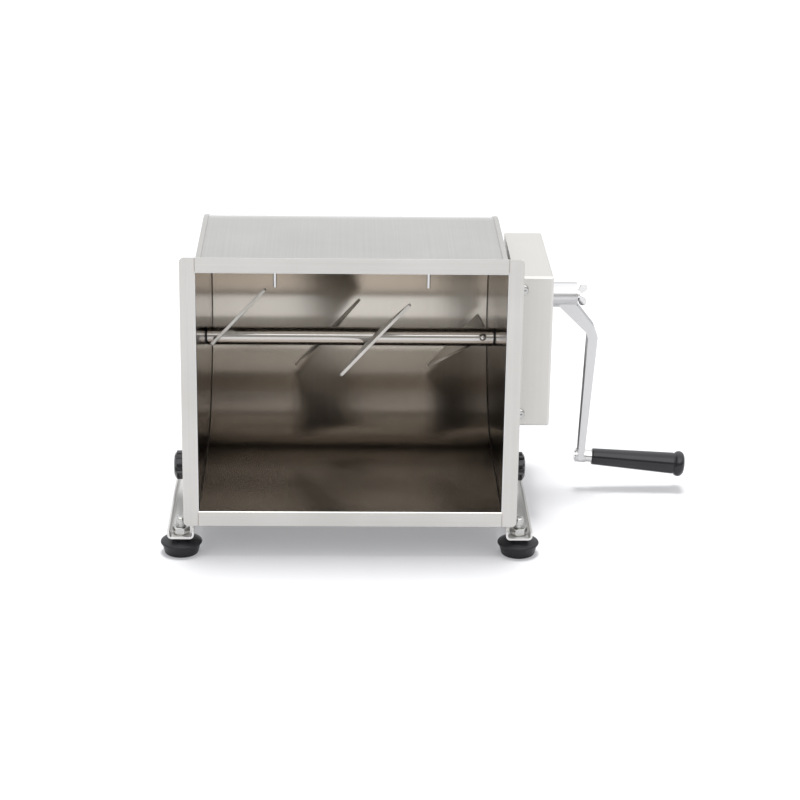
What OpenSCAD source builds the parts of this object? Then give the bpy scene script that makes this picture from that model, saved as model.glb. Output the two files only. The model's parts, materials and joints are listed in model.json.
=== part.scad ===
// Hand-cranked tilting meat mixer, modelled with the tank tipped forward for emptying.
// X runs from the left leg to the crank, Y runs back into the mouth of the tank, Z is up.
// The tank tips and the agitator turns about one axis, over the middle of the feet.

/* [Tank] */
// Width inside the tank, between the end plates
tank_w = 309; // [240:1:380]
// Front to back inside the tank, which is also the width of the round bottom
tank_d = 254; // [210:1:300]
// Depth of the straight walls, from the rim to the axis of the round bottom
tank_straight = 189; // [150:1:230]
// Thickness of the tank's sheet
sheet_t = 1.5; // [1:0.1:2.5]
// Width of the flat rim round the mouth
rim_w = 15; // [10:0.5:20]
// Radius of the rim's outer corners
rim_corner = 5; // [2:0.5:8]
// Width of the folded edge where an end plate laps over the trough
lap_w = 5; // [3:0.5:9]
// Thickness of that folded edge
lap_t = 1.2; // [0.8:0.1:2]
// Radius of the ear that the clamp presses on when the tank is upright
ear_r = 11; // [8:0.5:15]
// Distance of the baffle pins from the middle of the tank
pin_x = 77; // [50:1:100]
// Depth of the baffle pins behind the rim
pin_depth = 45; // [30:1:60]
// Length of a baffle pin
pin_len = 28; // [15:1:40]
// Diameter of a baffle pin
pin_d = 3.6; // [2.5:0.1:5]

/* [Stand] */
// Gap between an end plate and the leg beside it
leg_gap = 3; // [2.5:0.1:6]
// Thickness of a leg's sheet
leg_t = 2; // [1.75:0.25:3]
// Width of a leg's base channel
leg_w = 27; // [24:1:36]
// Height of the base channel's outer lip
leg_lip = 9; // [7:0.5:14]
// Outer bend radius of the base channel
leg_bend = 4.5; // [4:0.25:6]
// Height of the base channel above the floor
leg_h = 19.7; // [18.7:0.1:30]
// Radius of the leg's head round the trunnion
leg_head_r = 31; // [26:1:36]
// Distance between the front and the rear foot
foot_span = 358; // [300:2:420]
// Distance of a foot from the end of its leg
foot_inset = 14; // [10:1:24]
// Gap between the tipped rim and the lip of the base channel
rim_clear = 4; // [3:0.5:12]

/* [Feet] */
// Diameter of a foot pad's rim
pad_d = 42.4; // [36:0.2:50]
// Height of a foot pad
pad_h = 17.5; // [14:0.5:18]
// Diameter of a foot's stud
foot_stud_d = 10; // [8:1:10]
// Length of stud that stands above the nut
foot_stud_over = 10.5; // [4:0.5:12]
// Distance across the flats of a foot nut
foot_nut_af = 16; // [14:0.5:16]
// Height of a foot nut
foot_nut_h = 7.5; // [5:0.5:8]

/* [Clamp knobs] */
// Diameter of a clamp knob
knob_d = 31; // [26:0.5:36]
// Thickness of the knob's fluted head
knob_head = 12; // [8:0.5:16]
// Length of the knob's neck
knob_neck = 9; // [6:0.5:14]
// Diameter of the clamp's stud
clamp_d = 8; // [6:1:10]
// Height of the threaded bush on the leg
clamp_bush_h = 4; // [3:0.5:6]
// Distance of the clamp from the tank's outer wall, measured inwards
clamp_edge = 4.5; // [4:0.5:12]
// Distance of the clamp in front of the tilt axis
clamp_front = 64; // [50:1:80]

/* [Agitator] */
// Outer diameter of the agitator's tube
tube_d = 20; // [18:0.5:26]
// Diameter of the stub shafts in the tube's ends
stub_d = 16; // [12:0.5:16]
// Distance of the blades' straight outer edge from the axis
blade_reach = 105; // [90:1:112]
// Thickness of a blade
blade_t = 3; // [2:0.5:5]
// Width of a blade where it meets the tube
blade_root = 22; // [15:1:30]
// Length of an inner blade's outer edge
inner_edge = 103; // [70:1:104]
// Length of an end blade's outer edge
end_edge = 81; // [60:1:82]
// How far the idler end blade's outer edge is set over, away from the end plate
end_shift = 32; // [26:1:34]
// How far the drive end blade's outer edge is set over, away from the end plate
drive_end_shift = 22; // [20:1:30]
// Distance of an inner blade from the middle of the tank
inner_x = 25; // [18:1:36]
// Distance of an end blade from the end plate
end_inset = 16; // [16:1:26]
// Angle of the blades to the axis
blade_slant = 46; // [35:1:55]
// Lean of the blade beside the drive
drive_blade_lean = 6; // [0:1:8]
// Angle of the front blades above the horizontal at rest
agitator_turn = 16; // [0:1:30]

/* [Gears] */
// Gear module
gear_m = 2; // [1.5:0.25:2.5]
// Teeth of the gear on the agitator
gear_n = 34; // [30:1:40]
// Teeth of the crank's pinion
pinion_n = 14; // [13:1:18]
// Face width of the gears
gear_face = 12; // [8:1:14]
// Clearance between the flanks of meshing teeth
backlash = 0.3; // [0.2:0.05:0.5]
// Diameter of the crank's shaft
crank_shaft_d = 12; // [10:0.5:13]

/* [Gearbox] */
// Front to back size of the gearbox
box_w = 168; // [140:1:200]
// Height of the gearbox
box_h = 164; // [150:1:200]
// Depth of the gearbox cover, across the mixer
box_x = 41; // [38:0.5:50]
// Thickness of the gearbox's sheet
box_t = 1.5; // [1:0.1:2]
// Outer bend radius of the cover's edges
box_bend = 3.2; // [2.1:0.1:4]
// Distance from the agitator's axis down to the cover's lower face
box_below = 71; // [56:1:80]
// Length of the spacers between the leg and the gearbox
spacer_len = 7; // [7:0.5:12]
// Distance of the cover's screws from its top and bottom
box_screw_inset = 14; // [10:0.5:20]

/* [Crank] */
// Radius of the crank, from its shaft to the grip's spindle
crank_r = 184; // [140:1:220]
// Diameter of the crank's hub
hub_d = 27; // [24:0.5:32]
// Length of the crank's hub
hub_len = 30; // [24:1:36]
// Set-over of the arm's elbow, outwards from the end of the hub
elbow_out = 18.5; // [14:0.5:24]
// Drop of the arm's elbow below the crank's axis
elbow_drop = 40.5; // [36:0.5:46]
// How far the arm leans back towards the tank below the elbow
arm_lean = 7.5; // [4:0.5:9]
// Width of the arm at the hub, seen from the side
arm_wide = 22; // [16:1:24]
// Thickness of the arm at its elbow
arm_t = 10.5; // [8:0.5:12]
// Droop of the grip below the horizontal
grip_droop = 4.9; // [0:0.1:7]
// Length of the grip
grip_len = 102; // [80:1:120]
// Diameter of the grip's inner end
grip_d = 18; // [15:0.5:22]
// Diameter of the grip before its end bead
grip_end_d = 23.5; // [20:0.5:28]
// Diameter of the grip's end bead
bead_d = 28; // [26:0.5:34]
// Diameter of the grip's spindle
spindle_d = 8; // [6:0.5:9]

/* [Hidden] */
$fn = 96;

// Running clearance on a radius, and the gap left between parts that only face each other
run = 0.05;
face_gap = 0.3;
eps = 0.01;

// Tank
tank_r = tank_d / 2;
wall_x = tank_w / 2;
end_x = wall_x + sheet_t;
rim_y = -tank_straight;
rim_half_w = wall_x + rim_w;
rim_half_h = tank_r + rim_w;

// Stand
shaft_h = leg_h + leg_lip + rim_clear + rim_half_h;
leg_x = end_x + leg_gap;
leg_face = leg_x + leg_t;
leg_mid = leg_x + leg_w / 2;
leg_half = foot_span / 2 + foot_inset;
web_z = leg_h - shaft_h;
plate_foot_z = web_z + leg_bend + 4;
plate_foot_y = leg_half - 8;
foot_y = foot_span / 2;
floor_z = -shaft_h;

// Trunnions
trunnion_r = stub_d / 2 + 7;
trunnion_flange_r = trunnion_r + 11;
trunnion_flange = leg_gap - 0.5;
clip_t = 1.2;
clip_x = leg_face + face_gap;
clip_groove = 0.8;
clip_rim = 3.5;
trunnion_end = clip_x + clip_t + 1.5;

// Clamps
clamp_y = -clamp_front;
clamp_z = -(tank_r + sheet_t - clamp_edge);
clamp_tip = end_x + face_gap;
clamp_bush_r = clamp_d / 2 + 4;
knob_in = leg_face + clamp_bush_h + face_gap;
knob_out = knob_in + knob_neck + knob_head;
knob_flutes = 6;

// Agitator
tube_r = tube_d / 2;
stub_r = stub_d / 2;
seal_t = 1.4;
tube_half = wall_x - seal_t - face_gap;
stub_in = 36;
end_blade_x = wall_x - end_inset;
drive_screw_x = wall_x - 13;
drive_screw_r = 2.5;
drive_screw_head_r = 4;
drive_screw_head = 3.8;

// Gears
gear_pitch_r = gear_m * gear_n / 2;
pinion_pitch_r = gear_m * pinion_n / 2;
crank_z = gear_pitch_r + pinion_pitch_r;
pressure = 25;
gear_add = gear_m;
gear_ded = 1.25 * gear_m;
flank_steps = 4;
key_w = 4;
key_h = 4;

// Gearbox
plate_x = leg_face + spacer_len;
plate_face = plate_x + box_t;
box_out = plate_x + box_x;
box_z0 = -box_below;
box_z1 = box_z0 + box_h;
bush_wall = 3;
bush_flange = 1.5;
bush_flange_w = 3.5;
gear_x = plate_face + bush_flange + 4;
gear_screw_head = 4;
gear_washer = 1.5;
tab_d = 16;
tab_h = 18;
box_screw_x = plate_x + 9;
box_screw_r = 2.5;
box_screw_head_r = 6;
spacer_r = 6;
plate_screw_r = 2.5;
plate_screw_head_r = 4.5;
plate_screw_head = 3;
spacer_y = 20;
spacer_top = 16;
spacer_low = -36;

// Crank
crank_shaft_r = crank_shaft_d / 2;
hub_in = box_out + bush_flange + 1;
hub_out = hub_in + hub_len;
hub_end_wall = 4.5;
elbow_x = hub_out + elbow_out;
arm_low_x = elbow_x - arm_lean;
elbow_bend = 5;
arm_low_t = 7;
arm_low_wide = 15;
boss_r = 7.5;
boss_len = 11;
spindle_r = spindle_d / 2;
collar_r = spindle_r + 2.6;
collar_len = 6.5;
grip_bead_len = 12;
grip_round = 4;
spindle_in_grip = grip_len - 14;
wing_thread_r = 3;
wing_collar_r = 5.5;
wing_collar = 3;
wing_reach = 12.5;
wing_out = 11;
wing_round = 4.2;

// The grip starts at the spindle's collar, and its bead is the mixer's right-hand end
grip_from = arm_low_x + boss_len / 2 + collar_len + face_gap;
grip_tip_x = arm_low_x + (grip_from - arm_low_x + grip_len - grip_round) * cos(grip_droop)
    + (bead_d / 2 - grip_round) * sin(grip_droop) + grip_round;
left_reach = max(leg_mid + pad_d / 2, leg_x + leg_w, knob_out);
middle_x = (left_reach - grip_tip_x) / 2;

// Puts the children from the tank's frame, on the tilt axis, into the part's own frame
module placed() {
    translate([middle_x, 0, shaft_h]) children();
}

// Mirrors the children to the left side when side is -1
module on_side(side) {
    scale_x = side < 0 ? 1 : 0;
    mirror([scale_x, 0, 0]) children();
}

// A round bar along X, from x0 to x1
module bar_x(x0, x1, r, y = 0, z = 0) {
    translate([x0, y, z]) rotate([0, 90, 0]) cylinder(h = x1 - x0, r = r);
}

// A profile drawn in Y and Z, carried along X from x0 to x1
module profile_x(x0, x1) {
    translate([x0, 0, 0]) rotate([90, 0, 90]) linear_extrude(x1 - x0) children();
}

// A profile drawn in X and Z, carried along Y from y0 to y1
module profile_y(y0, y1) {
    translate([0, y1, 0]) rotate([90, 0, 0]) linear_extrude(y1 - y0) children();
}

// Points of an arc about c, from angle a to angle b
function arc(c, r, a, b, steps = 8) =
    [for (i = [0:steps]) c + r * [cos(a + (b - a) * i / steps), sin(a + (b - a) * i / steps)]];

// A rectangle from p to q with rounded corners
module round_rect(p, q, r, steps = 8) {
    polygon(concat(
        arc([q[0] - r, q[1] - r], r, 0, 90, steps),
        arc([p[0] + r, q[1] - r], r, 90, 180, steps),
        arc([p[0] + r, p[1] + r], r, 180, 270, steps),
        arc([q[0] - r, p[1] + r], r, 270, 360, steps)));
}

// Outline of the trough, in Y and Z, with walls that stand off by extra
module trough(extra) {
    circle(r = tank_r + extra);
    translate([rim_y, -tank_r - extra]) square([tank_straight, 2 * (tank_r + extra)]);
}

// The trough sheet with its front and back rim strips
module tank_shell() {
    color("gainsboro") placed() {
        profile_x(-wall_x, wall_x) difference() {
            trough(sheet_t);
            trough(0);
            translate([rim_y - 1, -tank_r]) square([1 + eps, tank_d]);
        }
        for (side = [-1, 1])
            translate([-wall_x, rim_y, side < 0 ? -rim_half_h : tank_r])
                cube([tank_w, sheet_t, rim_w]);
    }
}

// An end plate with its side rim strip, folded edge and clamp ear
module end_plate(side) {
    bore_r = trunnion_r - 3;
    color("lightgray") placed() on_side(side) {
        difference() {
            profile_x(wall_x, end_x) union() {
                trough(sheet_t + lap_t);
                translate([-clamp_z, clamp_y]) circle(r = ear_r);
                polygon([[0, clamp_y - ear_r], [-clamp_z, clamp_y - ear_r],
                    [-clamp_z, clamp_y + ear_r], [0, clamp_y + ear_r]]);
            }
            bar_x(wall_x - 1, end_x + 1, bore_r);
        }
        profile_x(end_x - lap_w, wall_x + eps) difference() {
            trough(sheet_t + lap_t);
            trough(sheet_t);
            translate([rim_y - 1, -tank_d]) square([1 + sheet_t, 2 * tank_d]);
        }
        profile_y(rim_y, rim_y + sheet_t) side_rim();
    }
}

// The side strip of the rim runs the full height and carries the round corners
module side_rim() {
    difference() {
        round_rect([0, -rim_half_h], [rim_half_w, rim_half_h], rim_corner);
        translate([-1, -rim_half_h - 1]) square([wall_x + 1, 2 * rim_half_h + 2]);
    }
}

module left_end_plate() { end_plate(-1); }
module right_end_plate() { end_plate(1); }

// The flanged bush that carries the tank in its leg and the agitator in the tank
module trunnion(side) {
    color("silver") placed() on_side(side) difference() {
        union() {
            bar_x(end_x, end_x + trunnion_flange, trunnion_flange_r);
            bar_x(wall_x, trunnion_end, trunnion_r - 3);
            bar_x(end_x, trunnion_end, trunnion_r);
        }
        bar_x(wall_x - 1, trunnion_end + 1, stub_r + run);
        difference() {
            bar_x(clip_x, clip_x + clip_t, trunnion_r + 1);
            bar_x(clip_x, clip_x + clip_t, trunnion_r - clip_groove);
        }
    }
}

module left_trunnion() { trunnion(-1); }
module right_trunnion() { trunnion(1); }

// The open spring clip in the trunnion's groove
module trunnion_clip(side) {
    gap_w = 7;
    color("dimgray") placed() on_side(side) difference() {
        bar_x(clip_x, clip_x + clip_t, trunnion_r + clip_rim);
        bar_x(clip_x - 1, clip_x + clip_t + 1, trunnion_r - clip_groove);
        translate([clip_x - 1, -gap_w / 2, -2 * trunnion_r])
            cube([clip_t + 2, gap_w, 2 * trunnion_r - trunnion_r * 0.6]);
    }
}

module left_trunnion_clip() { trunnion_clip(-1); }
module right_trunnion_clip() { trunnion_clip(1); }

// The rubber ring between the tube's end and the tank
module shaft_seal(side) {
    color([0.1, 0.1, 0.1]) placed() on_side(side) difference() {
        bar_x(wall_x - seal_t, wall_x, tube_r - 0.4);
        bar_x(wall_x - seal_t - 1, wall_x + 1, stub_r + 2 * run);
    }
}

module left_shaft_seal() { shaft_seal(-1); }
module right_shaft_seal() { shaft_seal(1); }

// The two fixed pins on the back wall
module baffle_pins() {
    color("whitesmoke") placed() for (side = [-1, 1])
        translate([side * pin_x, rim_y + pin_depth, tank_r - pin_len]) cylinder(h = pin_len, d = pin_d);
}

// Section of the base channel, in X and Z
module channel_section() {
    difference() {
        round_rect([leg_x, web_z], [leg_x + leg_w, web_z + 3 * leg_bend + leg_lip], leg_bend);
        round_rect([leg_face, web_z + leg_t], [leg_x + leg_w - leg_t, web_z + 4 * leg_bend + leg_lip],
            leg_bend - leg_t);
        translate([leg_face, web_z + leg_lip]) square([leg_w, 4 * leg_bend]);
        translate([leg_x - 1, plate_foot_z]) square([leg_w + 2, 4 * leg_bend + leg_lip]);
    }
}

// Where a line from p touches the circle of radius r about the axis, on the side that sign names
function touch(p, r, sign) =
    let (d = norm(p), base = atan2(p[1], p[0]), turn = acos(r / d))
    r * [cos(base + sign * turn), sin(base + sign * turn)];

// The upright plate of a leg, in Y and Z
module leg_upright() {
    front = [-plate_foot_y, plate_foot_z];
    rear = [plate_foot_y, plate_foot_z];
    circle(r = leg_head_r);
    polygon([front, rear, touch(rear, leg_head_r, 1), [0, 0], touch(front, leg_head_r, -1)]);
}

// A leg: base channel, upright plate and the holes for its feet, trunnion and clamp
module leg(side) {
    color("silver") placed() on_side(side) difference() {
        union() {
            profile_y(-leg_half, leg_half) channel_section();
            profile_x(leg_x, leg_face) leg_upright();
        }
        bar_x(leg_x - 1, leg_face + 1, trunnion_r + run);
        bar_x(leg_x - 1, leg_face + 1, clamp_d / 2 + 1, clamp_y, clamp_z);
        for (end = [-1, 1])
            translate([leg_mid, end * foot_y, web_z - 1]) cylinder(h = leg_t + 2, d = foot_stud_d + 2 * run);
        if (side > 0)
            at_spacers() bar_x(leg_x - 1, leg_face + 1, plate_screw_r + run);
    }
}

module left_leg() { leg(-1); }
module right_leg() { leg(1); }

// Hexagon nuts on the base channels
module foot_nuts() {
    color("whitesmoke") placed() for (side = [-1, 1], end = [-1, 1])
        translate([side * leg_mid, end * foot_y, web_z + leg_t]) difference() {
            intersection() {
                rotate(8 * side) cylinder(h = foot_nut_h, d = foot_nut_af / cos(30), $fn = 6);
                rotate_extrude() polygon([[0, 0], [foot_nut_af / 2 - 0.6, 0], [foot_nut_af / 2 + 1.4, 1.2],
                    [foot_nut_af / 2 + 1.4, foot_nut_h - 1.2], [foot_nut_af / 2 - 0.6, foot_nut_h], [0, foot_nut_h]]);
            }
            translate([0, 0, -1]) cylinder(h = foot_nut_h + 2, d = foot_stud_d + 2 * run);
        }
}

// The threaded bush that a clamp's stud turns in
module clamp_bush(side) {
    color("gray") placed() on_side(side) difference() {
        union() {
            bar_x(leg_face, leg_face + clamp_bush_h, clamp_bush_r, clamp_y, clamp_z);
            bar_x(leg_x, leg_face, clamp_d / 2 + 1, clamp_y, clamp_z);
        }
        bar_x(leg_x - 1, leg_face + clamp_bush_h + 1, clamp_d / 2 + run, clamp_y, clamp_z);
    }
}

module left_clamp_bush() { clamp_bush(-1); }
module right_clamp_bush() { clamp_bush(1); }

// The fluted head of a clamp knob, with its neck
module knob(side) {
    flute_r = 5;
    flute_at = knob_d / 2 + 2.6;
    head_in = knob_in + knob_neck;
    edge = 1.5;
    color([0.1, 0.1, 0.11]) placed() on_side(side) translate([0, clamp_y, clamp_z]) difference() {
        rotate([0, 90, 0]) rotate_extrude() polygon([
            [0, knob_in], [clamp_bush_r + 1, knob_in], [clamp_bush_r + 2, head_in],
            [knob_d / 2 - edge, head_in], [knob_d / 2, head_in + edge],
            [knob_d / 2, knob_out - 2 * edge], [knob_d / 2 - 2 * edge, knob_out - edge / 2],
            [knob_d / 2 - 5, knob_out], [0, knob_out]]);
        for (i = [0:knob_flutes - 1]) rotate([360 / knob_flutes * (i + 0.5), 0, 0])
            bar_x(head_in - 1, knob_out + 1, flute_r, 0, flute_at);
        bar_x(knob_in - 1, knob_in + knob_neck, clamp_d / 2);
    }
}

module left_knob() { knob(-1); }
module right_knob() { knob(1); }

// The stud of a clamp knob, up to the end plate that it presses on
module knob_stud(side) {
    color("lightgray") placed() on_side(side)
        bar_x(clamp_tip, knob_in + knob_neck, clamp_d / 2, clamp_y, clamp_z);
}

module left_knob_stud() { knob_stud(-1); }
module right_knob_stud() { knob_stud(1); }

// A rubber foot pad: a wide rim over a narrower sole, and a low cone up to its stud
module foot_pad(side, end) {
    rim_r = pad_d / 2;
    sole_r = rim_r * 0.82;
    rim_z = pad_h * 0.74;
    socket = pad_h * 0.5;
    color([0.08, 0.08, 0.085]) placed() translate([side * leg_mid, end * foot_y, floor_z]) rotate_extrude()
        polygon(concat(
            [[0, 0]],
            arc([sole_r - 2, 2], 2, 270, 345),
            [[rim_r - 1.6, rim_z - 2.6]],
            arc([rim_r - 1.7, rim_z - 0.9], 1.7, 300, 420),
            [[foot_stud_d / 2 + 5, pad_h], [foot_stud_d / 2, pad_h],
                [foot_stud_d / 2, pad_h - socket], [0, pad_h - socket]]));
}

module foot_pad_front_left() { foot_pad(-1, -1); }
module foot_pad_front_right() { foot_pad(1, -1); }
module foot_pad_rear_left() { foot_pad(-1, 1); }
module foot_pad_rear_right() { foot_pad(1, 1); }

// The stud of a foot, with the collar that the leg stands on and a domed end
module foot_stud(side, end) {
    dome = 2.5;
    top = leg_h + leg_t + foot_nut_h + foot_stud_over;
    stud_r = foot_stud_d / 2;
    color("whitesmoke") placed() translate([side * leg_mid, end * foot_y, floor_z]) rotate_extrude()
        polygon(concat(
            [[0, pad_h * 0.5], [stud_r, pad_h * 0.5], [stud_r, pad_h], [stud_r + 3.5, pad_h],
                [stud_r + 3.5, leg_h - run], [stud_r, leg_h - run]],
            arc([stud_r - dome, top - dome], dome, 0, 90),
            [[0, top]]));
}

module foot_stud_front_left() { foot_stud(-1, -1); }
module foot_stud_front_right() { foot_stud(1, -1); }
module foot_stud_rear_left() { foot_stud(-1, 1); }
module foot_stud_rear_right() { foot_stud(1, 1); }

// The agitator's own parts are drawn with the front blades pointing up and turned to their rest angle
module on_agitator() {
    placed() rotate([90 - agitator_turn, 0, 0]) children();
}

module agitator_tube() {
    color("silver") on_agitator() difference() {
        bar_x(-tube_half, tube_half, tube_r);
        bar_x(-tube_half - 1, tube_half + 1, stub_r + run);
        translate([drive_screw_x, 0, 0]) cylinder(h = tube_d, r = drive_screw_r + run);
    }
}

// A blade: narrow at the tube, wide at its slanted outer edge, coped to the tube
module blade(x, back, edge, shift, lean = 0) {
    corner = 1.5;
    slant = back ? -blade_slant : blade_slant;
    color("gainsboro") on_agitator() difference() {
        translate([x, 0, 0]) rotate([back ? 180 : 0, 0, 0]) rotate([0, 0, slant]) rotate([lean, 0, 0])
            rotate([90, 0, 0]) linear_extrude(blade_t, center = true) polygon([
                [-blade_root / 2, 0], [blade_root / 2, 0],
                [shift + edge / 2, blade_reach - corner], [shift + edge / 2 - corner, blade_reach],
                [shift - edge / 2 + corner, blade_reach], [shift - edge / 2, blade_reach - corner]]);
        bar_x(x - 2 * blade_root, x + 2 * blade_root, tube_r);
    }
}

module blade_left_end() { blade(-end_blade_x, false, end_edge, end_shift); }
module blade_left_inner() { blade(-inner_x, true, inner_edge, 0); }
module blade_right_inner() { blade(inner_x, false, inner_edge, 0); }
module blade_right_end() { blade(end_blade_x, true, end_edge, -drive_end_shift, drive_blade_lean); }

// A keyway or key on top of a shaft, from x0 to x1
module key_bar(x0, x1, shaft_r, extra = 0) {
    translate([x0, -key_w / 2 - extra, shaft_r - key_h / 2 - extra])
        cube([x1 - x0, key_w + 2 * extra, key_h + 2 * extra]);
}

// The shaft that carries the gear into the tube
module drive_stub() {
    color("lightgray") on_agitator() difference() {
        bar_x(tube_half - stub_in, gear_x + gear_face, stub_r);
        key_bar(gear_x, gear_x + gear_face + 1, stub_r);
        translate([drive_screw_x, 0, 0]) cylinder(h = tube_d, r = drive_screw_r);
        bar_x(gear_x - 4, gear_x + gear_face + 1, drive_screw_r);
    }
}

// The plain stub at the other end, with its head outside the trunnion
module idler_stub() {
    head = 4;
    color("lightgray") on_agitator() {
        bar_x(-trunnion_end - face_gap - eps, -tube_half + stub_in, stub_r);
        bar_x(-trunnion_end - face_gap - head, -trunnion_end - face_gap, stub_r + 4);
    }
}

// The dome-headed screw that holds the tube on the drive stub
module drive_screw() {
    dome_from = tube_r - 1.5;
    color("whitesmoke") on_agitator() translate([drive_screw_x, 0, 0]) union() {
        cylinder(h = tube_r, r = drive_screw_r);
        difference() {
            rotate_extrude() polygon(concat([[0, dome_from], [drive_screw_head_r, dome_from]],
                arc([0, tube_r + drive_screw_head - drive_screw_head_r], drive_screw_head_r, 0, 90, 6)));
            bar_x(-tube_d, tube_d, tube_r);
        }
    }
}

// Point of an involute flank that leaves the base circle at angle 0
function involute(base_r, r) =
    let (t = sqrt(max(0, r * r / (base_r * base_r) - 1)), a = t * 180 / PI - atan(t)) [r, a];

// Outline of a spur gear with a tooth on the +X axis
module gear_outline(teeth) {
    pitch_r = gear_m * teeth / 2;
    base_r = pitch_r * cos(pressure);
    root_r = pitch_r - gear_ded;
    tip_r = pitch_r + gear_add;
    half = 90 / teeth - backlash / 2 / pitch_r * 180 / PI / 2 + involute(base_r, pitch_r)[1];
    low_r = max(base_r, root_r);
    flank = [for (i = [0:flank_steps]) involute(base_r, low_r + (tip_r - low_r) * i / flank_steps)];
    polygon([for (n = [0:teeth - 1]) let (mid = 360 / teeth * n) each concat(
        [root_r * [cos(mid - half), sin(mid - half)]],
        [for (p = flank) p[0] * [cos(mid - half + p[1]), sin(mid - half + p[1])]],
        [for (i = [flank_steps:-1:0]) let (p = flank[i]) p[0] * [cos(mid + half - p[1]), sin(mid + half - p[1])]],
        [root_r * [cos(mid + half), sin(mid + half)]])]);
}

// The gear on the agitator: one of its gaps faces the pinion above it at rest
module drive_gear() {
    color("darkgray") {
        on_agitator() difference() {
            profile_x(gear_x, gear_x + gear_face) rotate(agitator_turn + 180 / gear_n) gear_outline(gear_n);
            bar_x(gear_x - 1, gear_x + gear_face + 1, stub_r);
            key_bar(gear_x - 1, gear_x + gear_face + 1, stub_r);
        }
    }
}

module drive_key() {
    color("gray") on_agitator() key_bar(gear_x, gear_x + gear_face, stub_r);
}

// The screw and washer that hold the gear on its stub
module gear_screw() {
    face = gear_x + gear_face;
    color("whitesmoke") on_agitator() {
        bar_x(gear_x - 4, face, drive_screw_r);
        bar_x(face, face + gear_washer, stub_r + 3);
        translate([face + gear_washer, 0, 0]) rotate([0, 90, 0])
            cylinder(h = gear_screw_head, d = 10 / cos(30), $fn = 6);
    }
}

// Repeats the children at the four spacers between leg and gearbox
module at_spacers() {
    for (y = [-spacer_y, spacer_y]) {
        translate([0, y, spacer_low]) children();
        translate([0, y * 0.4, spacer_low - spacer_top]) children();
    }
}

// The gearbox's back plate, with bent tabs for the cover's screws
module gearbox_plate() {
    y1 = box_w / 2 - box_t - run;
    color("silver") placed() difference() {
        union() {
            profile_x(plate_x, plate_face)
                round_rect([-y1, box_z0 + box_t + run], [y1, box_z1 - box_t - run], box_bend);
            at_cover_screws() translate([plate_x, -box_t / 2, -tab_h / 2]) cube([tab_d, box_t, tab_h]);
        }
        bar_x(plate_x - 1, plate_face + 1, stub_r + bush_wall + run);
        bar_x(plate_x - 1, plate_face + 1, crank_shaft_r + bush_wall + run, 0, crank_z);
        at_spacers() bar_x(plate_x - 1, plate_face + 1, plate_screw_r + run);
        at_cover_screws() rotate([90, 0, 0])
            translate([box_screw_x, 0, -box_t]) cylinder(h = 2 * box_t, r = box_screw_r + run);
    }
}

// Repeats the children at the middle of each tab, inside the cover's front and rear walls
module at_cover_screws() {
    for (end = [-1, 1], z = [box_z0 + box_screw_inset, box_z1 - box_screw_inset])
        translate([0, end * (box_w / 2 - 1.5 * box_t - run), z]) children();
}

module gearbox_spacers() {
    color("lightgray") placed() at_spacers() difference() {
        bar_x(leg_face, plate_x, spacer_r);
        bar_x(leg_face - 1, plate_x + 1, plate_screw_r + run);
    }
}

module plate_screws() {
    color("whitesmoke") placed() at_spacers() {
        bar_x(leg_x - trunnion_flange / 2, plate_face, plate_screw_r);
        bar_x(plate_face, plate_face + plate_screw_head, plate_screw_head_r);
    }
}

// Outline of the cover seen along Y or Z: its outer edges are bent round
module cover_bend(low, high) {
    polygon(concat(
        [[plate_x, low], [plate_x, high]],
        arc([box_out - box_bend, high - box_bend], box_bend, 90, 0, 4),
        arc([box_out - box_bend, low + box_bend], box_bend, 0, -90, 4)));
}

// The gearbox cover: a sheet box that is open towards the tank
module gearbox_cover() {
    y1 = box_w / 2;
    inner_bend = box_bend - box_t;
    color("whitesmoke") placed() difference() {
        intersection() {
            profile_x(plate_x, box_out) round_rect([-y1, box_z0], [y1, box_z1], box_bend, 4);
            profile_y(-y1, y1) cover_bend(box_z0, box_z1);
            translate([0, 0, box_z0]) linear_extrude(box_h) cover_bend(-y1, y1);
        }
        profile_x(plate_x - 1, box_out - box_t)
            round_rect([-y1 + box_t, box_z0 + box_t], [y1 - box_t, box_z1 - box_t], inner_bend, 4);
        bar_x(box_out - 2 * box_t, box_out + 1, crank_shaft_r + bush_wall + run, 0, crank_z);
        at_cover_screws() translate([box_screw_x, 0, 0]) rotate([90, 0, 0])
            cylinder(h = 8 * box_t, r = box_screw_r + run, center = true);
    }
}

// Pan-head screws through the cover's front and rear walls
module cover_screws() {
    head_h = 3;
    crown = 2.4;
    slot = 1.3;
    slot_half = 3.2;
    color("whitesmoke") placed()
        for (end = [-1, 1], z = [box_z0 + box_screw_inset, box_z1 - box_screw_inset])
            translate([box_screw_x, end * box_w / 2, z]) rotate([-90 * end, 0, 0]) difference() {
                union() {
                    translate([0, 0, -2 * box_t - 2]) cylinder(h = 2 * box_t + 2, r = box_screw_r);
                    rotate_extrude() polygon(concat([[0, 0], [box_screw_head_r, 0]],
                        arc([box_screw_head_r - crown, head_h - crown], crown, 0, 90), [[0, head_h]]));
                }
                for (a = [0, 90]) rotate(a)
                    translate([-slot_half, -slot / 2, head_h - 1.4]) cube([2 * slot_half, slot, 2]);
            }
}

// A flanged bush along X whose flange lies on the face at x, on the outer side
module bush(x, length, bore_r, z) {
    color("darkkhaki") placed() difference() {
        union() {
            bar_x(x - length, x, bore_r + bush_wall, 0, z);
            bar_x(x, x + bush_flange, bore_r + bush_wall + bush_flange_w, 0, z);
        }
        bar_x(x - length - 1, x + bush_flange + 1, bore_r + run, 0, z);
    }
}

module output_bush() { bush(plate_face, box_t + 2, stub_r, 0); }
module crank_bush_inner() { bush(plate_face, box_t + 2, crank_shaft_r, crank_z); }
module crank_bush_outer() { bush(box_out, box_t + 4, crank_shaft_r, crank_z); }

// Puts the children on the crank's axis
module on_crank() {
    placed() translate([0, 0, crank_z]) children();
}

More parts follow.
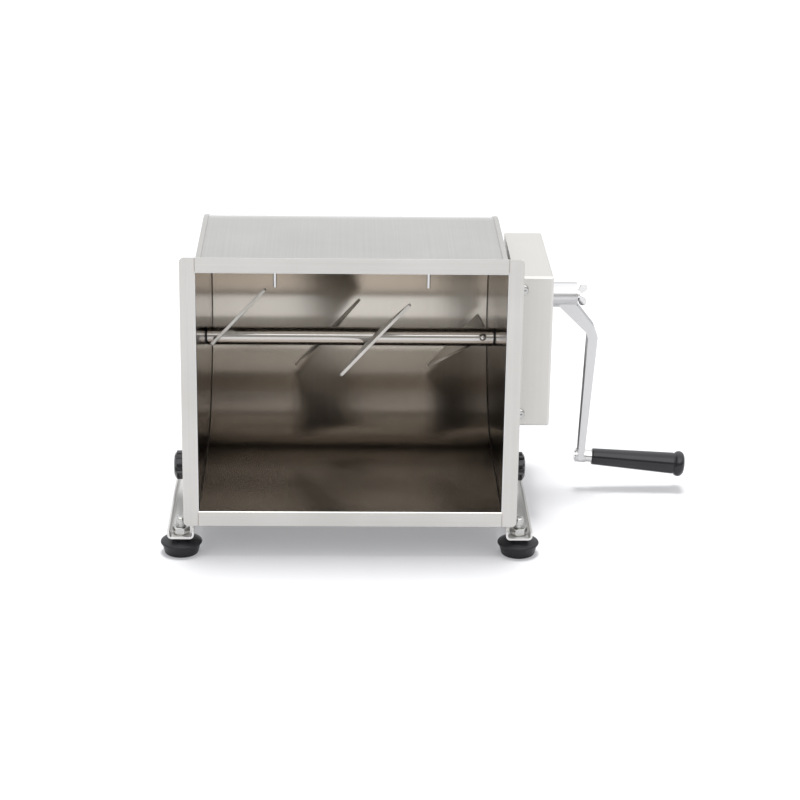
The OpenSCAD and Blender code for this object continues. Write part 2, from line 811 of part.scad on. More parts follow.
module crank_shaft() {
    color("lightgray") on_crank() difference() {
        bar_x(plate_face - box_t - 2, hub_out - hub_end_wall, crank_shaft_r);
        key_bar(gear_x, gear_x + gear_face, crank_shaft_r);
        bar_x(hub_out - hub_end_wall - 14, hub_out, wing_thread_r);
    }
}

// The pinion: one of its teeth points down into the gear at rest
module crank_pinion() {
    color("darkgray") on_crank() difference() {
        profile_x(gear_x, gear_x + gear_face) rotate(-90) gear_outline(pinion_n);
        bar_x(gear_x - 1, gear_x + gear_face + 1, crank_shaft_r);
        key_bar(gear_x - 1, gear_x + gear_face + 1, crank_shaft_r);
    }
}

module pinion_key() {
    color("gray") on_crank() key_bar(gear_x, gear_x + gear_face, crank_shaft_r);
}

// One station of the arm: a round edge along Y
module arm_station(at, thick, wide) {
    translate([at[0], wide / 2, at[1]]) rotate([90, 0, 0]) cylinder(h = wide, d = thick, $fn = 32);
}

// Puts the children at the grip's end of the arm, along the drooping spindle
module on_spindle() {
    on_crank() translate([arm_low_x, 0, -crank_r]) rotate([0, grip_droop, 0]) children();
}

// The cast crank: hub, set-over arm and the boss for the grip
module crank_arm() {
    root = [hub_out - 1.12 * arm_t, -hub_d / 4];
    elbow = [elbow_x, -elbow_drop];
    low = [arm_low_x, -crank_r];
    upper = elbow + elbow_bend * (root - elbow) / norm(root - elbow);
    lower = elbow + elbow_bend * (low - elbow) / norm(low - elbow);
    elbow_wide = arm_wide - 2;
    color("gainsboro") {
        difference() {
            on_crank() union() {
                bar_x(hub_in, hub_out, hub_d / 2);
                hull() {
                    arm_station(root, arm_t * 1.45, arm_wide);
                    arm_station(upper, arm_t, elbow_wide);
                }
                hull() {
                    arm_station(upper, arm_t, elbow_wide);
                    arm_station(lower, arm_t, elbow_wide);
                }
                hull() {
                    arm_station(lower, arm_t, elbow_wide);
                    arm_station(low, arm_low_t, arm_low_wide);
                }
                translate([arm_low_x, 0, -crank_r]) rotate([0, grip_droop, 0])
                    bar_x(-boss_len / 2, boss_len / 2, boss_r);
            }
            on_crank() bar_x(hub_in - 1, hub_out - hub_end_wall, crank_shaft_r);
            on_crank() bar_x(hub_in, hub_out + 1, wing_thread_r + run);
            on_spindle() bar_x(-boss_len, boss_len, spindle_r);
        }
    }
}

// The wing screw in the end of the crank's shaft
module wing_screw() {
    wing_t = 2.2;
    wing_turn = 12;
    color("whitesmoke") on_crank() {
        bar_x(hub_out - hub_end_wall - 12, hub_out, wing_thread_r);
        bar_x(hub_out, hub_out + wing_collar, wing_collar_r);
        rotate([wing_turn, 0, 0]) for (side = [-1, 1]) hull() {
            translate([hub_out + wing_collar / 2, -wing_t / 2, side * 2])
                rotate([-90, 0, 0]) cylinder(h = wing_t, r = wing_collar / 2, $fn = 32);
            translate([hub_out + wing_out - wing_round, -wing_t / 2, side * (wing_reach - wing_round)])
                rotate([-90, 0, 0]) cylinder(h = wing_t, r = wing_round, $fn = 32);
        }
    }
}

// The spindle is riveted through the boss, and its collar keeps the grip off the arm
module grip_spindle() {
    rivet = 1.6;
    from = boss_len / 2;
    color("whitesmoke") on_spindle() {
        bar_x(-from - rivet, from + collar_len + face_gap + spindle_in_grip, spindle_r);
        bar_x(-from - rivet, -from, spindle_r + 1.5);
        bar_x(from, from + collar_len, collar_r);
    }
}

// The tapered grip, with a bead at its outer end
module crank_grip() {
    start = boss_len / 2 + collar_len + face_gap;
    bead_at = grip_len - grip_bead_len;
    edge = 1.5;
    color([0.09, 0.09, 0.1]) on_spindle() translate([start, 0, 0]) rotate([0, 90, 0]) rotate_extrude()
        polygon(concat(
            [[spindle_r + run, 0]],
            arc([grip_d / 2 - edge, edge], edge, 270, 360),
            [[grip_end_d / 2, bead_at]],
            arc([bead_d / 2 - grip_round, bead_at + grip_round], grip_round, 300, 360),
            arc([bead_d / 2 - grip_round, grip_len - grip_round], grip_round, 0, 90),
            [[0, grip_len], [0, spindle_in_grip + 1], [spindle_r + run, spindle_in_grip + 1]]));
}

left_leg();
right_leg();
foot_nuts();
left_clamp_bush();
right_clamp_bush();
gearbox_plate();
gearbox_spacers();
plate_screws();
gearbox_cover();
cover_screws();
output_bush();
crank_bush_inner();
crank_bush_outer();
tank_shell();
left_end_plate();
right_end_plate();
left_trunnion();
right_trunnion();
left_trunnion_clip();
right_trunnion_clip();
left_shaft_seal();
right_shaft_seal();
baffle_pins();
agitator_tube();
blade_left_end();
blade_left_inner();
blade_right_inner();
blade_right_end();
drive_stub();
idler_stub();
drive_screw();
drive_gear();
drive_key();
gear_screw();
crank_shaft();
crank_pinion();
pinion_key();
crank_arm();
wing_screw();
grip_spindle();
crank_grip();
left_knob();
left_knob_stud();
right_knob();
right_knob_stud();
foot_pad_front_left();
foot_pad_front_right();
foot_pad_rear_left();
foot_pad_rear_right();
foot_stud_front_left();
foot_stud_front_right();
foot_stud_rear_left();
foot_stud_rear_right();
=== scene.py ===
"""Looks of the hand-cranked meat mixer: brushed steel, bright plated metal, black rubber and plastic."""
import json
import math

import bmesh
import bpy
from mathutils import Matrix, Vector


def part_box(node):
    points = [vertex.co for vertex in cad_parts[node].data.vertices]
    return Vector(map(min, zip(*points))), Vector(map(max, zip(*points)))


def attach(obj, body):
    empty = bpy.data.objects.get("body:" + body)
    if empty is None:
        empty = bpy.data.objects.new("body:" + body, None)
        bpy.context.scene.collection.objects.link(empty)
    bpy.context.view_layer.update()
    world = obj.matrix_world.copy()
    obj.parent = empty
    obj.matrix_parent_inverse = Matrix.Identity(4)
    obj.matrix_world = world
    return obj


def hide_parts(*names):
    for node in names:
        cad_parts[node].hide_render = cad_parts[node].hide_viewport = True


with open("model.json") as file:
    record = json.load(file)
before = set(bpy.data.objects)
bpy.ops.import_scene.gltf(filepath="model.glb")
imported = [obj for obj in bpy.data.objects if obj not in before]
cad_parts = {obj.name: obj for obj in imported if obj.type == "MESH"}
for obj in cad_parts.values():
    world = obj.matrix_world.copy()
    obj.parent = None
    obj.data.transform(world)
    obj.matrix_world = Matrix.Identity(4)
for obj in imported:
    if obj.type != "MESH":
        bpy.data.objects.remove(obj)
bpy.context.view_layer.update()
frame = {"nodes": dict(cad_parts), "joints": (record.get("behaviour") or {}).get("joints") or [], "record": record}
nodes = frame["nodes"]
record = frame["record"]
body_of = {node: body for body, held in record["behaviour"]["bodies"].items() for node in held}
slot_of = {row["node"]: row["material_slot"] for row in record["subparts"]}
scene = bpy.context.scene

# Places of the tank and of the crank's hub, in metres. The tilt axis lies along x, at y = 0.
sheet = 0.0015
shell_low, shell_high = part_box("tank_shell")
trunnion_low, trunnion_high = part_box("left_trunnion")
shaft_low, shaft_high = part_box("crank_shaft")
tank_x = (shell_low.x + shell_high.x) / 2
half_width = (shell_high.x - shell_low.x) / 2
trough_radius = shell_high.y - sheet
rim_y = shell_low.y
axis_z = (trunnion_low.z + trunnion_high.z) / 2
hub_z = (shaft_low.z + shaft_high.z) / 2


# Shader nodes, and the two groups that the finishes share

# Where a mix node keeps its two inputs and its output for each kind of data
mix_sockets = {"VECTOR": (4, 5, 1), "RGBA": (6, 7, 2)}


def add(tree, kind, **settings):
    """A new node with its settings."""
    node = tree.nodes.new(kind)
    for key, value in settings.items():
        setattr(node, key, value)
    return node


def feed(tree, socket, item):
    """Links a socket to what another node puts out, or sets its constant."""
    if isinstance(item, bpy.types.NodeSocket):
        tree.links.new(item, socket)
    else:
        socket.default_value = item


def math_node(tree, operation, first, second=0.0):
    """One step of arithmetic on sockets or numbers."""
    node = add(tree, "ShaderNodeMath", operation=operation)
    feed(tree, node.inputs[0], first)
    feed(tree, node.inputs[1], second)
    return node.outputs[0]


def product(tree, mask, *others):
    """Masks multiplied together."""
    for other in others:
        mask = math_node(tree, "MULTIPLY", mask, other)
    return mask


def weighted(tree, first, second, shares):
    """The sum of two sources, each times its share."""
    one = math_node(tree, "MULTIPLY", first, shares[0])
    other = math_node(tree, "MULTIPLY", second, shares[1])
    return math_node(tree, "ADD", one, other)


def blend(tree, factor, under, over, kind="RGBA"):
    """Mixes two colours, or two vectors, by a mask."""
    node = add(tree, "ShaderNodeMix", data_type=kind)
    under_at, over_at, out_at = mix_sockets[kind]
    feed(tree, node.inputs["Factor"], factor)
    feed(tree, node.inputs[under_at], under)
    feed(tree, node.inputs[over_at], over)
    return node.outputs[out_at]


def remap(tree, source, low, high, to_low, to_high):
    """A source's range from low to high, taken to another range and held inside it."""
    node = add(tree, "ShaderNodeMapRange", clamp=True)
    tree.links.new(source, node.inputs["Value"])
    node.inputs["From Min"].default_value = low
    node.inputs["From Max"].default_value = high
    node.inputs["To Min"].default_value = to_low
    node.inputs["To Max"].default_value = to_high
    return node.outputs["Result"]


def fade_in(tree, source, edge, span):
    """0 up to an edge and 1 past it, with a short span between them."""
    return remap(tree, source, edge + span[0], edge + span[1], 0.0, 1.0)


def fade_out(tree, source, edge, span):
    """1 up to an edge and 0 past it, with a short span between them."""
    return remap(tree, source, edge + span[0], edge + span[1], 1.0, 0.0)


def noise(tree, vector, scale, detail, roughness=0.5):
    """A cloudy value from 0 to 1."""
    node = add(tree, "ShaderNodeTexNoise")
    tree.links.new(vector, node.inputs["Vector"])
    feed(tree, node.inputs["Scale"], scale)
    node.inputs["Detail"].default_value = detail
    node.inputs["Roughness"].default_value = roughness
    return node.outputs["Fac"]


def stretched(tree, place, stretch):
    """Places drawn out, so that a noise on them becomes scratches."""
    mapping = add(tree, "ShaderNodeMapping")
    mapping.inputs["Scale"].default_value = stretch
    tree.links.new(place, mapping.inputs["Vector"])
    return mapping.outputs["Vector"]


def new_group(name, inputs, outputs):
    """An empty shader group with named inputs and outputs."""
    tree = bpy.data.node_groups.new(name, "ShaderNodeTree")
    for title, kind, value in inputs:
        made = tree.interface.new_socket(title, in_out="INPUT", socket_type=kind)
        if value is not None:
            made.default_value = value
    for title, kind in outputs:
        tree.interface.new_socket(title, in_out="OUTPUT", socket_type=kind)
    return tree, tree.nodes.new("NodeGroupInput"), tree.nodes.new("NodeGroupOutput")


def make_brushing():
    """Long fine scratches along one way, with soft handling marks over them."""
    tree, start, end = new_group(
        "brushing",
        [("Vector", "NodeSocketVector", None), ("Stretched", "NodeSocketVector", None),
         ("Marks", "NodeSocketFloat", 9.0)],
        [("Scratches", "NodeSocketFloat"), ("Handling", "NodeSocketFloat")])
    scratches = noise(tree, start.outputs["Stretched"], scale=1.0, detail=4.0, roughness=0.65)
    handling = noise(tree, start.outputs["Vector"], scale=start.outputs["Marks"], detail=3.0)
    tree.links.new(scratches, end.inputs["Scratches"])
    tree.links.new(handling, end.inputs["Handling"])
    return tree


def make_grain():
    """Fine moulded or cast grain with slow drifts of tone."""
    tree, start, end = new_group(
        "cast_grain",
        [("Vector", "NodeSocketVector", None), ("Grain", "NodeSocketFloat", 900.0),
         ("Drift", "NodeSocketFloat", 14.0)],
        [("Grain", "NodeSocketFloat"), ("Drift", "NodeSocketFloat")])
    for title, detail in (("Grain", 3.0), ("Drift", 2.0)):
        texture = noise(tree, start.outputs["Vector"], scale=start.outputs[title], detail=detail)
        tree.links.new(texture, end.inputs[title])
    return tree


brushing = make_brushing()
cast_grain = make_grain()


# Masks on the tank. Each span is where a mask fades, in metres past the edge that it is measured from.

wall_fade = (0.0003, 0.0010)
mouth_fade = (0.0002, 0.0016)
front_fade = (0.0002, 0.0012)
strip_fade = (0.0006, 0.0014)
strip_end_fade = (-0.0001, 0.0001)
joint_fade = (0.0012, 0.0030)
joint_line_fade = (0.0002, 0.0007)

# Depth below the tilt axis over which the lining's painted shade changes
shaded_lining_depth = 0.12


def from_axis(tree, place):
    """How far a point lies to a side of the tank's middle, behind the tilt axis and above it."""
    split = add(tree, "ShaderNodeSeparateXYZ")
    tree.links.new(place, split.inputs["Vector"])
    aside = math_node(tree, "ABSOLUTE", math_node(tree, "SUBTRACT", split.outputs["X"], tank_x))
    rise = math_node(tree, "SUBTRACT", split.outputs["Z"], axis_z)
    return aside, split.outputs["Y"], rise


def inside_tank(tree, place):
    """1 on the faces inside the tank and 0 on its outside and rim."""
    aside, back, rise = from_axis(tree, place)
    behind = math_node(tree, "MAXIMUM", back, 0.0)
    squares = [math_node(tree, "MULTIPLY", side, side) for side in (behind, rise)]
    reach = math_node(tree, "SQRT", math_node(tree, "ADD", *squares))
    within_wall = fade_out(tree, reach, trough_radius, wall_fade)
    within_ends = fade_out(tree, aside, half_width, wall_fade)
    past_rim = fade_in(tree, back, rim_y, mouth_fade)
    return product(tree, within_wall, within_ends, past_rim)


def shade_rise_in_tank(tree, place):
    """Where the lining's painted shade changes: 0 at the bottom of the lining, rising to 1 at the axis."""
    rise = from_axis(tree, place)[2]
    return fade_in(tree, rise, 0.0, (-shaded_lining_depth, 0.0))


def rim_front(tree, place, span):
    """1 on the rim's front above and below the mouth, and how far to a side each point lies."""
    aside, back, rise = from_axis(tree, place)
    past_wall = fade_in(tree, math_node(tree, "ABSOLUTE", rise), trough_radius, span)
    on_front = fade_out(tree, back, rim_y, front_fade)
    return product(tree, past_wall, on_front), aside


def rim_strip(tree, place):
    """1 on the upper and lower strips of the rim, which are brushed along their length."""
    front, aside = rim_front(tree, place, strip_fade)
    return product(tree, front, fade_out(tree, aside, half_width, strip_end_fade))


def rim_joint(tree, place):
    """1 on the joints between the rim's side strips and its upper and lower strips."""
    front, aside = rim_front(tree, place, joint_fade)
    off_joint = math_node(tree, "ABSOLUTE", math_node(tree, "SUBTRACT", aside, half_width))
    return product(tree, front, fade_out(tree, off_joint, 0.0, joint_line_fade))


# Finishes. Tones are a darker and a paler colour, and rough is the range of roughness between them.

tone_span = (0.25, 0.75)
rough_span = (0.3, 0.7)
skin_span = (0.35, 0.65)
scratch_depth = 0.0003
grain_depth = 0.0004
skin_depth = 0.0003
metal_drift = 22.0
moulded_drift = 30.0

# Shares of scratches and handling marks in brushed steel, of scratches and smears on worn sheet,
# and of grain and drift in a moulded skin
tone_shares = (0.6, 0.4)
rough_shares = (0.4, 0.6)
worn_shares = (0.42, 0.33)
skin_shares = (0.5, 0.5)
worn_lift = 0.125
joint_strength = 0.85
rim_stretch = (3, 3, 520)
quarter_turn = 0.25


def new_material(name):
    """A material with its shader and the places on the piece that it patterns."""
    made = bpy.data.materials.new(name)
    made.use_nodes = True
    tree = made.node_tree
    shader = tree.nodes["Principled BSDF"]
    place = tree.nodes.new("ShaderNodeTexCoord").outputs["Object"]
    return made, tree, shader, place


def two_tone(tree, factor, tones):
    """A colour between the darker and the paler tone."""
    ramp = add(tree, "ShaderNodeValToRGB")
    tree.links.new(factor, ramp.inputs["Fac"])
    for element, position, tone in zip(ramp.color_ramp.elements, tone_span, tones):
        element.position = position
        element.color = (*tone, 1)
    return ramp.outputs["Color"]


def bump(tree, shader, height, strength, distance):
    """A fine relief on the surface."""
    node = add(tree, "ShaderNodeBump")
    node.inputs["Strength"].default_value = strength
    node.inputs["Distance"].default_value = distance
    tree.links.new(height, node.inputs["Height"])
    tree.links.new(node.outputs["Normal"], shader.inputs["Normal"])


def worn_tone(tree, place, scratches):
    """Scratches with the soft smears of used sheet."""
    smears = noise(tree, place, scale=15.0, detail=3.0)
    return math_node(tree, "ADD", weighted(tree, scratches, smears, worn_shares), worn_lift)


def lined_colour(tree, place, outer, inside, tone, shaded_lining):
    """A tank sheet's colour: worn outside, its lining inside painted as shade, darker and browner than the outside
    with a tone that changes from low in the tank up to the axis, and a dark line at the rim's joints.
    """
    # The lining's two painted shade tones, blended by height in the tank
    low = two_tone(tree, tone, shaded_lining["low"])
    high = two_tone(tree, tone, shaded_lining["high"])
    inner = blend(tree, shade_rise_in_tank(tree, place), low, high)
    joint = math_node(tree, "MULTIPLY", rim_joint(tree, place), joint_strength)
    return blend(tree, joint, blend(tree, inside, outer, inner), low)


def brush_round_axis(tree, shader):
    """Turns the stretch of the highlights to a brushing that runs round the tank's axis."""
    shader.inputs["Anisotropic Rotation"].default_value = quarter_turn
    round_axis = add(tree, "ShaderNodeTangent", direction_type="RADIAL", axis="X")
    tree.links.new(round_axis.outputs["Tangent"], shader.inputs["Tangent"])


def brushed_steel(name, tones, stretch, rough, relief=0.06, anisotropy=0.35, shaded_lining=None):
    """Steel brushed along the axes in which stretch is smallest. A tank sheet has a lining too, painted with
    shade.
    """
    made, tree, shader, place = new_material(name)
    along = stretched(tree, place, stretch)
    if shaded_lining:
        along = blend(tree, rim_strip(tree, place), along, stretched(tree, place, rim_stretch), "VECTOR")
    group = add(tree, "ShaderNodeGroup", node_tree=brushing)
    tree.links.new(place, group.inputs["Vector"])
    tree.links.new(along, group.inputs["Stretched"])
    scratches = group.outputs["Scratches"]
    handling = group.outputs["Handling"]
    tone = weighted(tree, scratches, handling, tone_shares)
    roughness = remap(tree, weighted(tree, scratches, handling, rough_shares), *rough_span, *rough)
    if shaded_lining:
        # Inside the tank the colour takes the lining's painted shade
        inside = inside_tank(tree, place)
        outer = two_tone(tree, worn_tone(tree, place, scratches), tones)
        colour = lined_colour(tree, place, outer, inside, tone, shaded_lining)
        smoother = math_node(tree, "MULTIPLY", inside, shaded_lining["smoother"])
        roughness = math_node(tree, "SUBTRACT", roughness, smoother)
        brush_round_axis(tree, shader)
    else:
        colour = two_tone(tree, tone, tones)
    tree.links.new(colour, shader.inputs["Base Color"])
    tree.links.new(roughness, shader.inputs["Roughness"])
    shader.inputs["Metallic"].default_value = 1.0
    shader.inputs["Anisotropic"].default_value = anisotropy
    bump(tree, shader, scratches, relief, scratch_depth)
    return made


def grained(tree, place, grain, drift):
    """Fine grain and slow drift at the scales of one finish."""
    group = add(tree, "ShaderNodeGroup", node_tree=cast_grain)
    group.inputs["Grain"].default_value = grain
    group.inputs["Drift"].default_value = drift
    tree.links.new(place, group.inputs["Vector"])
    return group.outputs["Grain"], group.outputs["Drift"]


def cast_metal(name, tones, rough, grain=600.0, relief=0.05, painted_shade=None):
    """Bright plated or turned metal, slightly uneven, with painted shade where a piece's faces are marked: darker
    flanks, and a near-black tone on flanks that face up.
    """
    made, tree, shader, place = new_material(name)
    fine, drift = grained(tree, place, grain, metal_drift)
    colour = two_tone(tree, drift, tones)
    if painted_shade:
        # Painted shade: marked faces take the darker flank tone, the hub's underside in part, and flanks that face
        # up go most of the way to near black
        mark = add(tree, "ShaderNodeAttribute", attribute_name="flank").outputs["Fac"]
        colour = blend(tree, mark, colour, two_tone(tree, drift, painted_shade["flank"]))
        shaded_faces_up = math_node(tree, "SUBTRACT", mark, flank_shade_mark)
        colour = blend(tree, shaded_faces_up, colour, painted_shade["upper"])
    tree.links.new(colour, shader.inputs["Base Color"])
    tree.links.new(remap(tree, drift, *rough_span, *rough), shader.inputs["Roughness"])
    shader.inputs["Metallic"].default_value = 1.0
    bump(tree, shader, fine, relief, grain_depth)
    return made


def moulded_black(name, tones, rough, grain, relief, coat=0.0, shine=0.32):
    """Moulded rubber or plastic with a fine skin."""
    made, tree, shader, place = new_material(name)
    fine, drift = grained(tree, place, grain, moulded_drift)
    skin = weighted(tree, fine, drift, skin_shares)
    tree.links.new(two_tone(tree, drift, tones), shader.inputs["Base Color"])
    tree.links.new(remap(tree, skin, *skin_span, *rough), shader.inputs["Roughness"])
    shader.inputs["Specular IOR Level"].default_value = shine
    shader.inputs["Coat Weight"].default_value = coat
    shader.inputs["Coat Roughness"].default_value = 0.25
    bump(tree, shader, fine, relief, skin_depth)
    return made


# What the crank arm's faces are marked with for painted shade: a flank, a flank that faces up, and the hub's
# underside
flank_shade_mark, upper_shade_mark, hub_shade_mark = 1.0, 1.6, 0.3

sheet_tones = ((0.48, 0.47, 0.448), (0.62, 0.61, 0.588))
# Painted shade inside the trough: the lining is darker and browner than the outside, and darkest at the bottom
trough_shaded_lining = {
    "low": ((0.34, 0.305, 0.277), (0.41, 0.375, 0.347)),
    "high": ((0.52, 0.488, 0.434), (0.60, 0.568, 0.514)),
    "smoother": 0.08}
# Painted shade on the end plates' inner faces: paler low down and darker from the axis up
end_shaded_lining = {
    "low": ((0.42, 0.382, 0.348), (0.50, 0.462, 0.428)),
    "high": ((0.36, 0.332, 0.30), (0.44, 0.412, 0.38)),
    "smoother": 0.16}
# Painted shade on the crank arm: darker tones on its flanks, and a near-black tone on flanks that face up
arm_painted_shade = {
    "flank": ((0.21, 0.21, 0.213), (0.29, 0.29, 0.294)),
    "upper": (0.05, 0.05, 0.052, 1)}

finishes = {
    "tank_steel": brushed_steel(
        "tank_brushed_steel", sheet_tones, stretch=(520, 3, 3), rough=(0.30, 0.335),
        relief=0.015, anisotropy=0.95, shaded_lining=trough_shaded_lining),
    "stand_steel": brushed_steel(
        "stand_brushed_steel", ((0.67, 0.665, 0.655), (0.77, 0.765, 0.755)),
        stretch=(420, 3, 420), rough=(0.38, 0.50)),
    "cover_steel": brushed_steel(
        "cover_brushed_steel", ((0.62, 0.61, 0.585), (0.665, 0.655, 0.63)),
        stretch=(420, 420, 3), rough=(0.46, 0.51), anisotropy=0.0),
    "agitator_steel": brushed_steel(
        "agitator_steel", ((0.45, 0.432, 0.41), (0.57, 0.552, 0.53)),
        stretch=(500, 6, 6), rough=(0.10, 0.18)),
    "bright_steel": cast_metal(
        "bright_steel", ((0.54, 0.54, 0.54), (0.68, 0.68, 0.68)), rough=(0.14, 0.26)),
    "crank_metal": cast_metal(
        "plated_crank", ((0.54, 0.54, 0.545), (0.62, 0.62, 0.627)), rough=(0.26, 0.36),
        grain=260.0, relief=0.08, painted_shade=arm_painted_shade),
    "gear_steel": cast_metal(
        "machined_gear_steel", ((0.26, 0.26, 0.27), (0.40, 0.40, 0.41)), rough=(0.32, 0.46)),
    "bronze": cast_metal(
        "oiled_bronze", ((0.42, 0.28, 0.12), (0.58, 0.42, 0.2)), rough=(0.28, 0.42)),
    "black_rubber": moulded_black(
        "black_rubber", ((0.006, 0.006, 0.0072), (0.012, 0.012, 0.0138)), rough=(0.34, 0.48),
        grain=700.0, relief=0.14),
    "black_plastic": moulded_black(
        "black_plastic", ((0.004, 0.0038, 0.0056), (0.008, 0.0076, 0.0106)), rough=(0.13, 0.20),
        grain=900.0, relief=0.03, coat=0.1, shine=0.41),
}

# Finishes of single pieces
end_plate_steel = brushed_steel(
    "end_plate_steel", sheet_tones, stretch=(1500, 3, 3), rough=(0.26, 0.36),
    relief=0.02, anisotropy=0.2, shaded_lining=end_shaded_lining)
blade_steel = brushed_steel(
    "blade_steel", ((0.66, 0.645, 0.62), (0.78, 0.765, 0.74)), stretch=(260, 260, 8), rough=(0.30, 0.42))
zinc_plate = cast_metal("zinc_plated_steel", ((0.38, 0.38, 0.37), (0.55, 0.55, 0.54)), rough=(0.07, 0.15))
wing_plate = cast_metal(
    "plated_wing_screw", ((0.66, 0.66, 0.655), (0.76, 0.76, 0.755)), rough=(0.14, 0.26))
# Near-white paint for the lower rim fold, a painted highlight
fold_painted_highlight = cast_metal("rim_fold_painted_highlight", ((0.84, 0.83, 0.80), (0.93, 0.92, 0.89)), rough=(0.12, 0.2))
seam_steel = cast_metal("weld_seam", ((0.10, 0.09, 0.08), (0.18, 0.165, 0.15)), rough=(0.34, 0.48))


def finish_of(node):
    """The finish of a node: its own where it has one, and otherwise that of its slot."""
    if node.endswith("_end_plate"):
        return end_plate_steel
    if node.startswith("blade_"):
        return blade_steel
    if node.startswith(("foot_nuts", "foot_stud_", "cover_screws")):
        return zinc_plate
    if node == "wing_screw":
        return wing_plate
    return finishes[slot_of[node]]


for name, obj in nodes.items():
    obj.data.materials.clear()
    obj.data.materials.append(finish_of(name))


# Pieces with eased edges, in place of the solids

merge_distance = 2e-6
flat_angle = math.radians(1.0)
sharp_angle = math.radians(38)
ease_segments = 2


def as_piece(name, mesh, body, smooth=True):
    """Puts a finished mesh in the scene as a piece that rides on a body."""
    obj = bpy.data.objects.new(name, mesh)
    scene.collection.objects.link(obj)
    if smooth:
        for face in mesh.polygons:
            face.use_smooth = True
    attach(obj, body)
    return obj


def finished_mesh(work):
    """The mesh that an object's modifiers make, after which the object is removed."""
    depsgraph = bpy.context.evaluated_depsgraph_get()
    made = bpy.data.meshes.new_from_object(work.evaluated_get(depsgraph))
    bpy.data.objects.remove(work)
    return made


def draft_flank(form):
    """Slopes the front half of the arm's flank on the tank's side, as the casting draft does."""
    # Drops below the hub's axis: of the faces that slope, and of the arm's straight stretch
    flank_from, flank_to = 0.06, 0.17
    straight_from, straight_length = 0.045, 0.14
    half_wide_top, narrowing = 0.010, 0.0025
    slope_top, slope_growth = 0.0032, 0.0010
    tank_lean, front_from = -0.75, -0.001
    flank = set()
    for face in form.faces:
        drop = hub_z - face.calc_center_bounds().z
        if face.normal.x < tank_lean and flank_from < drop < flank_to:
            flank.update(face.verts)
    for vert in flank:
        if vert.co.y < front_from:
            along = (hub_z - vert.co.z - straight_from) / straight_length
            half_wide = half_wide_top - narrowing * along
            slope = slope_top + slope_growth * along
            vert.co.x += slope * min(1.0, -vert.co.y / half_wide)


def round_bead(form):
    """Rounds the bead at the end of the grip into a half circle over its whole length."""
    length, corner = 0.012, 0.004
    end_play, side_play = 0.0003, 0.0001
    spin = next(joint for joint in frame["joints"] if joint["name"] == "grip_spin")
    foot, way = Vector(spin["pos_m"]), Vector(spin["axis"]).normalized()
    places = {vert: (vert.co - foot).dot(way) for vert in form.verts}
    outward = {vert: vert.co - foot - along * way for vert, along in places.items()}
    reach = max(places.values())
    wide = max(out.length for out in outward.values())
    middle = reach - length / 2
    growth = length / 2 / corner
    for vert, along in places.items():
        out = outward[vert]
        rise = out.length - (wide - corner)
        if along < reach - length + end_play or rise < -side_play:
            continue
        centre = reach - length + corner if along < middle else reach - corner
        radius = wide - length / 2 + rise * growth
        vert.co = foot + (middle + (along - centre) * growth) * way + out.normalized() * radius
    bmesh.ops.remove_doubles(form, verts=form.verts, dist=merge_distance)


def mark_shaded_flanks(mesh):
    """Marks the sides of the arm for painted shade, and not its front and back."""
    # Drops below the hub's axis, and how far a face leans to the front or back, up or down
    arm_from, arm_to, hub_radius = 0.015, 0.176, 0.0137
    front_lean, up_lean, down_lean = 0.88, 0.2, -0.05
    marks = mesh.attributes.new("flank", "FLOAT", "FACE")
    for face, mark in zip(mesh.polygons, marks.data):
        heights = [mesh.vertices[index].co.z for index in face.vertices]
        middle = (min(heights) + max(heights)) / 2
        on_side = abs(face.normal.y) < front_lean
        on_arm = hub_z - arm_to < middle < hub_z - arm_from
        under_hub = abs(face.center.z - hub_z) < hub_radius and face.normal.z < down_lean
        if on_side and on_arm:
            mark.value = upper_shade_mark if face.normal.z > up_lean else flank_shade_mark
        else:
            mark.value = hub_shade_mark if under_hub else 0.0


reshaped = {"crank_arm": draft_flank, "crank_grip": round_bead}


def eased(node, width):
    """A copy of a solid whose sharp edges are eased, in place of the solid."""
    form = bmesh.new()
    form.from_mesh(nodes[node].data)
    bmesh.ops.remove_doubles(form, verts=form.verts, dist=merge_distance)
    bmesh.ops.dissolve_limit(form, angle_limit=flat_angle, verts=form.verts, edges=form.edges)
    if node in reshaped:
        reshaped[node](form)
    mesh = bpy.data.meshes.new(node + "_eased")
    form.to_mesh(mesh)
    form.free()
    mesh.shade_smooth()
    work = bpy.data.objects.new(node + "_work", mesh)
    scene.collection.objects.link(work)
    ease = work.modifiers.new("ease", "BEVEL")
    ease.width = width
    ease.segments = ease_segments
    ease.limit_method = "ANGLE"
    ease.angle_limit = sharp_angle
    ease.use_clamp_overlap = True
    flats = work.modifiers.new("flats", "WEIGHTED_NORMAL")
    flats.weight = 80
    flats.keep_sharp = True
    made = finished_mesh(work)
    made.materials.clear()
    made.materials.append(finish_of(node))
    made.name = node + "_eased"
    if node == "crank_arm":
        mark_shaded_flanks(made)
    piece = as_piece(node + "_eased", made, body_of[node], False)
    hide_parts(node)


# Width of the eased edge, in metres
eased_edges = {
    "crank_arm": 0.0014, "gearbox_cover": 0.0003, "left_leg": 0.0004, "right_leg": 0.0004,
    "left_end_plate": 0.0003, "right_end_plate": 0.0003, "tank_shell": 0.0003, "foot_nuts": 0.0004,
    "blade_left_end": 0.0005, "blade_left_inner": 0.0005,
    "blade_right_inner": 0.0005, "blade_right_end": 0.0005,
    "left_knob": 0.0008, "right_knob": 0.0008, "wing_screw": 0.0004, "crank_grip": 0.0008,
    "foot_pad_front_left": 0.0012, "foot_pad_front_right": 0.0012,
    "foot_pad_rear_left": 0.0012, "foot_pad_rear_right": 0.0012, "cover_screws": 0.0003,
}
for node, width in eased_edges.items():
    eased(node, width)


# Geometry Nodes forms: threads that wind up a stud, and beads that follow an edge

seam_distance = 1e-7


